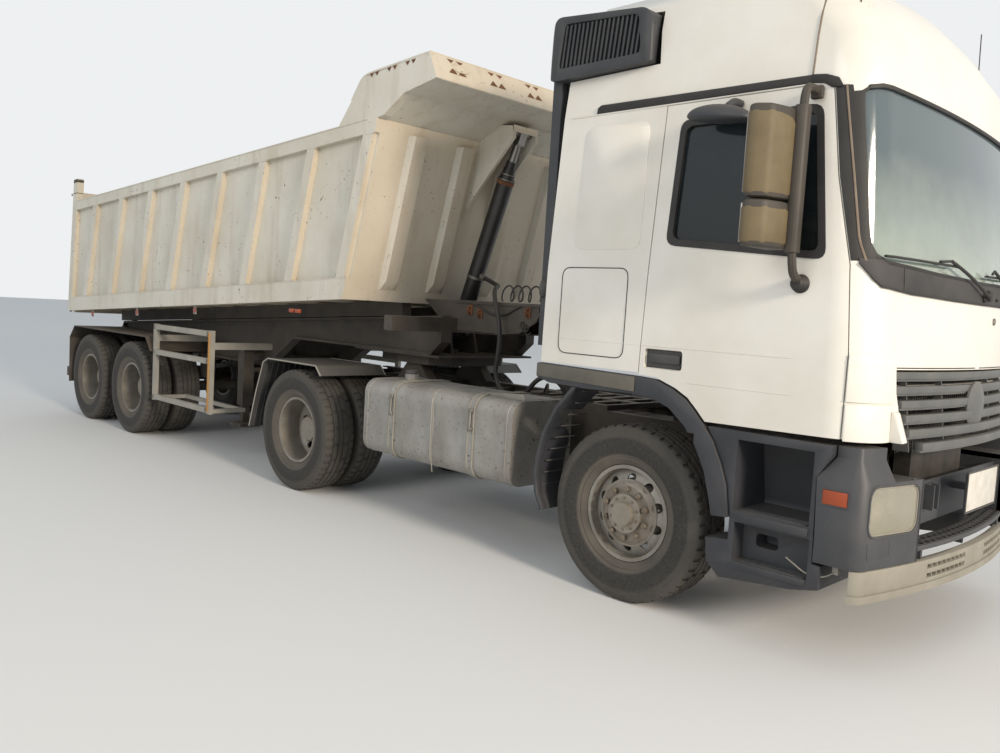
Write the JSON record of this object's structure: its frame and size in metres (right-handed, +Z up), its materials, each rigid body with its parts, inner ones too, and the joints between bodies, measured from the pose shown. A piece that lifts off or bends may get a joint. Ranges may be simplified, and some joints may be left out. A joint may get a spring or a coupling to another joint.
{
  "type": "articulated tipper lorry",
  "caption": "Two-axle tractor unit with a high sleeper cab, hinged to a two-axle tipping semi-trailer raised by a telescopic cylinder.",
  "frame": {"origin": "middle of the lorry's length and width, on the ground", "axes": "+X forward, +Y to the lorry's left, +Z up"},
  "size_m": [10.7265, 3.12, 3.7],
  "materials": {
    "cab_white": "gloss paint, dusty",
    "tipper_cream": "cream paint, chipped and dusty",
    "chassis_black": "chassis paint, dusty",
    "dark_plastic": "moulded, weathered",
    "bumper_grey": "moulded, weathered",
    "valance_beige": "dirty grey-beige moulding",
    "grille_grey": "grey moulding",
    "lamp_lens": "clear lens",
    "window_glass": "tinted glass",
    "tyre_rubber": "tyre rubber, dusty",
    "wheel_silver": "silver wheel paint, dusty",
    "tank_aluminium": "brushed, dusty",
    "guard_grey": "weathered paint",
    "cylinder_black": "black paint",
    "cylinder_steel": "hard chrome",
    "seat_fabric": "woven seat cover",
    "dash_plastic": "grained moulding",
    "mirror_brown": "moulded housing",
    "hose_rubber": "rubber hose",
    "engine_iron": "cast iron",
    "radiator_fins": "finned core"
  },
  "bodies": {
    "root": {"tractor_frame": "chassis_black", "front_axle": "chassis_black", "drive_axle": "chassis_black", "engine_block": "engine_iron", "radiator": "radiator_fins", "fifth_wheel": "chassis_black", "fuel_tank": "tank_aluminium", "battery_box": "dark_plastic", "rear_mudguards": "dark_plastic", "front_arches": "dark_plastic", "entry_steps": "dark_plastic", "bumper": "bumper_grey", "headlamps": "lamp_lens", "lower_valance": "valance_beige", "hydraulic_hose": "hose_rubber"},
    "knuckle_l": {"knuckle_l": "chassis_black"},
    "knuckle_r": {"knuckle_r": "chassis_black"},
    "cab": {"cab_shell": "cab_white", "cab_roof": "cab_white", "windscreen": "window_glass", "grille": "grille_grey", "dashboard": "dash_plastic", "seats": "seat_fabric", "snorkel": "dark_plastic"},
    "trailer": {"trailer_frame": "chassis_black", "trailer_axles": "chassis_black", "trailer_fenders": "chassis_black", "side_guards": "guard_grey", "landing_legs": "chassis_black", "underrun_bar": "chassis_black"},
    "bed": {"bed": "tipper_cream", "bed_beams": "chassis_black"},
    "tailgate": {"tailgate": "tipper_cream"},
    "cylinder_tube": {"cylinder_tube": "cylinder_black"},
    "door_l": {"door_l": "cab_white", "door_glass_l": "window_glass", "mirrors_l": "mirror_brown"},
    "front_wheel_l": {"front_tyre_l": "tyre_rubber", "front_rim_l": "wheel_silver"},
    "drive_wheels_l": {"drive_tyres_l": "tyre_rubber", "drive_rims_l": "wheel_silver"},
    "trailer_front_wheels_l": {"trailer_front_tyres_l": "tyre_rubber", "trailer_front_rims_l": "wheel_silver"},
    "trailer_rear_wheels_l": {"trailer_rear_tyres_l": "tyre_rubber", "trailer_rear_rims_l": "wheel_silver"},
    "door_r": {"door_r": "cab_white", "door_glass_r": "window_glass", "mirrors_r": "mirror_brown"},
    "front_wheel_r": {"front_tyre_r": "tyre_rubber", "front_rim_r": "wheel_silver"},
    "drive_wheels_r": {"drive_tyres_r": "tyre_rubber", "drive_rims_r": "wheel_silver"},
    "trailer_front_wheels_r": {"trailer_front_tyres_r": "tyre_rubber", "trailer_front_rims_r": "wheel_silver"},
    "trailer_rear_wheels_r": {"trailer_rear_tyres_r": "tyre_rubber", "trailer_rear_rims_r": "wheel_silver"},
    "cylinder_stage_1": {"cylinder_stage_1": "cylinder_black"},
    "cylinder_stage_2": {"cylinder_stage_2": "cylinder_black"},
    "cylinder_stage_3": {"cylinder_stage_3": "cylinder_black"},
    "cylinder_stage_4": {"cylinder_stage_4": "cylinder_steel"}
  },
  "joints": [
    {"name": "cab_tilt", "type": "hinge", "parent": "root", "child": "cab", "pos_m": [5.276, 0, 1.06], "axis": [0, 1, 0], "range_deg": [0, 60]},
    {"name": "door_l", "type": "hinge", "parent": "cab", "child": "door_l", "pos_m": [5.082, 1.248, 2.039], "axis": [0.0879, 0, -0.9961], "range_deg": [0, 70]},
    {"name": "steer_l", "type": "hinge", "parent": "root", "child": "knuckle_l", "pos_m": [3.896, 0.835, 0.538], "axis": [0, 0, 1], "range_deg": [-40, 40]},
    {"name": "roll_front_l", "type": "hinge", "parent": "knuckle_l", "child": "front_wheel_l", "pos_m": [3.896, 1.04, 0.538], "axis": [0, 1, 0], "continuous": true},
    {"name": "roll_drive_l", "type": "hinge", "parent": "root", "child": "drive_wheels_l", "pos_m": [0.296, 0.905, 0.538], "axis": [0, 1, 0], "continuous": true},
    {"name": "roll_trailer_front_l", "type": "hinge", "parent": "trailer", "child": "trailer_front_wheels_l", "pos_m": [-3.274, 0.905, 0.538], "axis": [0, 1, 0], "continuous": true},
    {"name": "roll_trailer_rear_l", "type": "hinge", "parent": "trailer", "child": "trailer_rear_wheels_l", "pos_m": [-4.544, 0.905, 0.538], "axis": [0, 1, 0], "continuous": true},
    {"name": "door_r", "type": "hinge", "parent": "cab", "child": "door_r", "pos_m": [5.082, -1.248, 2.039], "axis": [-0.0879, 0, 0.9961], "range_deg": [0, 70]},
    {"name": "steer_r", "type": "hinge", "parent": "root", "child": "knuckle_r", "pos_m": [3.896, -0.835, 0.538], "axis": [0, 0, 1], "range_deg": [-40, 40]},
    {"name": "roll_front_r", "type": "hinge", "parent": "knuckle_r", "child": "front_wheel_r", "pos_m": [3.896, -1.04, 0.538], "axis": [0, 1, 0], "continuous": true},
    {"name": "roll_drive_r", "type": "hinge", "parent": "root", "child": "drive_wheels_r", "pos_m": [0.296, -0.905, 0.538], "axis": [0, 1, 0], "continuous": true},
    {"name": "roll_trailer_front_r", "type": "hinge", "parent": "trailer", "child": "trailer_front_wheels_r", "pos_m": [-3.274, -0.905, 0.538], "axis": [0, 1, 0], "continuous": true},
    {"name": "roll_trailer_rear_r", "type": "hinge", "parent": "trailer", "child": "trailer_rear_wheels_r", "pos_m": [-4.544, -0.905, 0.538], "axis": [0, 1, 0], "continuous": true},
    {"name": "trailer_yaw", "type": "hinge", "parent": "root", "child": "trailer", "pos_m": [0.896, 0, 1.265], "axis": [0, 0, 1], "range_deg": [-90, 90], "deforming": ["hydraulic_hose"]},
    {"name": "bed_tip", "type": "hinge", "parent": "trailer", "child": "bed", "pos_m": [-5.054, 0, 1.15], "axis": [0, -1, 0], "range_deg": [0, 45]},
    {"name": "tailgate_swing", "type": "hinge", "parent": "bed", "child": "tailgate", "pos_m": [-5.16241, 0, 2.8563], "axis": [0, 1, 0], "range_deg": [0, 80]},
    {"name": "cylinder_swing", "type": "hinge", "parent": "trailer", "child": "cylinder_tube", "pos_m": [1.046, 0, 1.45], "axis": [0, -1, 0], "range_deg": [0, 46]},
    {"name": "cylinder_extend_1", "type": "slide", "parent": "cylinder_tube", "child": "cylinder_stage_1", "axis": [0.3529, 0, 0.9357], "range_m": [0, 1.171]},
    {"name": "cylinder_extend_2", "type": "slide", "parent": "cylinder_stage_1", "child": "cylinder_stage_2", "axis": [0.3529, 0, 0.9357], "range_m": [0, 1.171]},
    {"name": "cylinder_extend_3", "type": "slide", "parent": "cylinder_stage_2", "child": "cylinder_stage_3", "axis": [0.3529, 0, 0.9357], "range_m": [0, 1.171]},
    {"name": "cylinder_extend_4", "type": "slide", "parent": "cylinder_stage_3", "child": "cylinder_stage_4", "axis": [0.3529, 0, 0.9357], "range_m": [0, 1.171]}
  ],
  "couplings": [
    {"joint": "steer_r", "follows": "steer_l", "ratio": 1},
    {"joint": "cylinder_swing", "follows": "bed_tip", "ratio": 1.0155},
    {"joint": "cylinder_extend_1", "follows": "bed_tip", "m_per_rad": 1.4878},
    {"joint": "cylinder_extend_2", "follows": "bed_tip", "m_per_rad": 1.4878},
    {"joint": "cylinder_extend_3", "follows": "bed_tip", "m_per_rad": 1.4878},
    {"joint": "cylinder_extend_4", "follows": "bed_tip", "m_per_rad": 1.4878}
  ]
}
